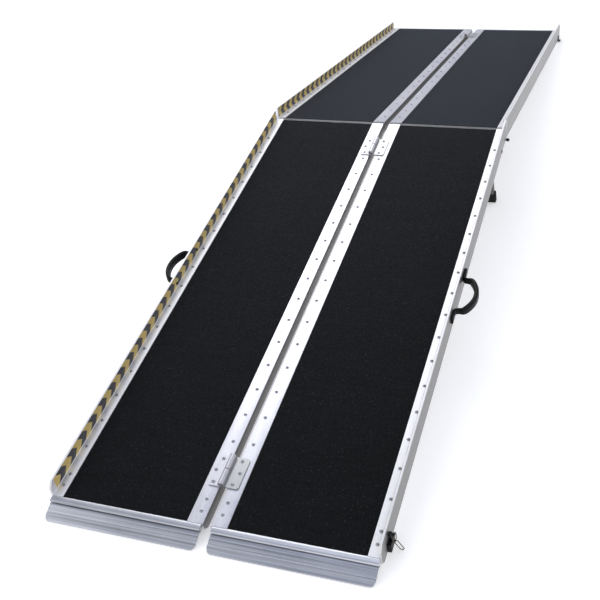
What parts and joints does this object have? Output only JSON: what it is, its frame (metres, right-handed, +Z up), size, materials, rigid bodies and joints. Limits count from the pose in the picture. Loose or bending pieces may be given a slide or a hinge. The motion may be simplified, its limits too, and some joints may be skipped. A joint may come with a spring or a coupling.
{
  "type": "portable wheelchair ramp",
  "caption": "Folding aluminium wheelchair ramp with hinged deck panels, grit mats, raised side walls, folding legs, approach plates, carry handles and a pull-pin latch.",
  "frame": {"origin": "on the floor under the middle of the ramp, below the transverse fold", "axes": "+Y along the ramp from the near end to the far end, +X to the right across the deck, +Z up"},
  "size_m": [0.812, 3.004, 0.2691],
  "materials": {
    "rail_aluminium": "satin brushed",
    "sheet_aluminium": "mill",
    "rivet_aluminium": "satin",
    "grit_mat": "fine mineral grit",
    "hazard_tape": "printed stripes",
    "hinge_steel": "zinc plated",
    "dark_steel": "blackened",
    "black_rubber": "matt",
    "black_plastic": "moulded"
  },
  "bodies": {
    "lower_right": {"lower_right_outer_rail": "rail_aluminium", "lower_right_inner_rail": "rail_aluminium", "lower_right_deck_sheet": "sheet_aluminium", "lower_right_grip_mat": "grit_mat", "lower_right_ribs": "sheet_aluminium", "lower_right_rivets": "rivet_aluminium", "lower_right_hazard_tape": "hazard_tape", "lower_right_end_profile": "rail_aluminium", "centre_hinge_right_leaves": "hinge_steel", "centre_hinge_pins": "hinge_steel", "right_fold_leaf_lower": "hinge_steel", "right_fold_pin": "dark_steel", "right_handle": "black_plastic", "right_bolts": "dark_steel", "latch_block": "black_plastic"},
    "lower_left": {"lower_left_outer_rail": "rail_aluminium", "lower_left_inner_rail": "rail_aluminium", "lower_left_deck_sheet": "sheet_aluminium", "lower_left_grip_mat": "grit_mat", "lower_left_ribs": "sheet_aluminium", "lower_left_rivets": "rivet_aluminium", "lower_left_hazard_tape": "hazard_tape", "lower_left_end_profile": "rail_aluminium", "centre_hinge_left_leaves": "hinge_steel", "left_fold_leaf_lower": "hinge_steel", "left_fold_pin": "dark_steel", "left_handle": "black_plastic", "left_bolts": "dark_steel"},
    "upper_right": {"upper_right_outer_rail": "rail_aluminium", "upper_right_inner_rail": "rail_aluminium", "upper_right_deck_sheet": "sheet_aluminium", "upper_right_grip_mat": "grit_mat", "upper_right_ribs": "sheet_aluminium", "upper_right_rivets": "rivet_aluminium", "upper_right_hazard_tape": "hazard_tape", "upper_right_end_profile": "rail_aluminium", "top_hinge_right_leaf": "hinge_steel", "right_fold_leaf_upper": "hinge_steel", "latch_keeper": "dark_steel"},
    "upper_left": {"upper_left_outer_rail": "rail_aluminium", "upper_left_inner_rail": "rail_aluminium", "upper_left_deck_sheet": "sheet_aluminium", "upper_left_grip_mat": "grit_mat", "upper_left_ribs": "sheet_aluminium", "upper_left_rivets": "rivet_aluminium", "upper_left_hazard_tape": "hazard_tape", "upper_left_end_profile": "rail_aluminium", "top_hinge_left_leaf": "hinge_steel", "left_fold_leaf_upper": "hinge_steel"},
    "right_leg_set": {"right_leg": "rail_aluminium", "right_foot": "black_rubber"},
    "left_leg_set": {"left_leg": "rail_aluminium", "left_foot": "black_rubber"},
    "near_right_plate": {"lower_right_approach_plate": "rail_aluminium"},
    "near_left_plate": {"lower_left_approach_plate": "rail_aluminium"},
    "far_right_plate": {"upper_right_approach_plate": "rail_aluminium"},
    "far_left_plate": {"upper_left_approach_plate": "rail_aluminium"},
    "pull_pin": {"latch_pin": "dark_steel"},
    "pull_ring": {"latch_ring": "dark_steel"},
    "pull_loop": {"latch_loop": "dark_steel"}
  },
  "joints": [
    {"name": "centre_fold", "type": "hinge", "parent": "lower_right", "child": "lower_left", "pos_m": [-0.005, -0.73062, 0.1414], "axis": [0, 0.9896, 0.144], "range_deg": [0, 173]},
    {"name": "cross_fold_right", "type": "hinge", "parent": "lower_right", "child": "upper_right", "pos_m": [0.2, 0, 0.20387], "axis": [-1, 0, 0], "range_deg": [-16.56, 163.44]},
    {"name": "cross_fold_left", "type": "hinge", "parent": "lower_left", "child": "upper_left", "pos_m": [-0.2, 0, 0.20387], "axis": [-1, 0, 0], "range_deg": [-16.56, 163.44]},
    {"name": "right_leg_fold", "type": "hinge", "parent": "lower_right", "child": "right_leg_set", "pos_m": [0.315, -0.08089, 0.20422], "axis": [-1, 0, 0], "range_deg": [-10.5, 103.4]},
    {"name": "left_leg_fold", "type": "hinge", "parent": "lower_left", "child": "left_leg_set", "pos_m": [-0.315, -0.08089, 0.20422], "axis": [-1, 0, 0], "range_deg": [-10.5, 103.4]},
    {"name": "near_right_plate_swing", "type": "hinge", "parent": "lower_right", "child": "near_right_plate", "pos_m": [0.183, -1.45984, 0.02073], "axis": [-1, 0, 0], "range_deg": [-8, 21]},
    {"name": "near_left_plate_swing", "type": "hinge", "parent": "lower_left", "child": "near_left_plate", "pos_m": [-0.183, -1.45984, 0.02073], "axis": [-1, 0, 0], "range_deg": [-8, 21]},
    {"name": "far_right_plate_swing", "type": "hinge", "parent": "upper_right", "child": "far_right_plate", "pos_m": [0.183, 1.45984, 0.02073], "axis": [1, 0, 0], "range_deg": [-8, 21]},
    {"name": "far_left_plate_swing", "type": "hinge", "parent": "upper_left", "child": "far_left_plate", "pos_m": [-0.183, 1.45984, 0.02073], "axis": [1, 0, 0], "range_deg": [-8, 21]},
    {"name": "pull_pin_slide", "type": "slide", "parent": "lower_right", "child": "pull_pin", "axis": [0, 0.144, -0.9896], "range_m": [0, 0.013]},
    {"name": "pull_ring_swing", "type": "hinge", "parent": "pull_pin", "child": "pull_ring", "pos_m": [0.3675, -1.40705, 0.0468], "axis": [0, -0.9896, -0.144], "range_deg": [0, 90]},
    {"name": "pull_loop_swing", "type": "hinge", "parent": "pull_ring", "child": "pull_loop", "pos_m": [0.37042, -1.40405, 0.02622], "axis": [0, -0.9896, -0.144], "range_deg": [-12, 60]}
  ],
  "couplings": [
    {"joint": "cross_fold_left", "follows": "cross_fold_right", "ratio": 1},
    {"joint": "right_leg_fold", "follows": "cross_fold_right", "ratio": 0.63221},
    {"joint": "left_leg_fold", "follows": "cross_fold_right", "ratio": 0.63221}
  ]
}
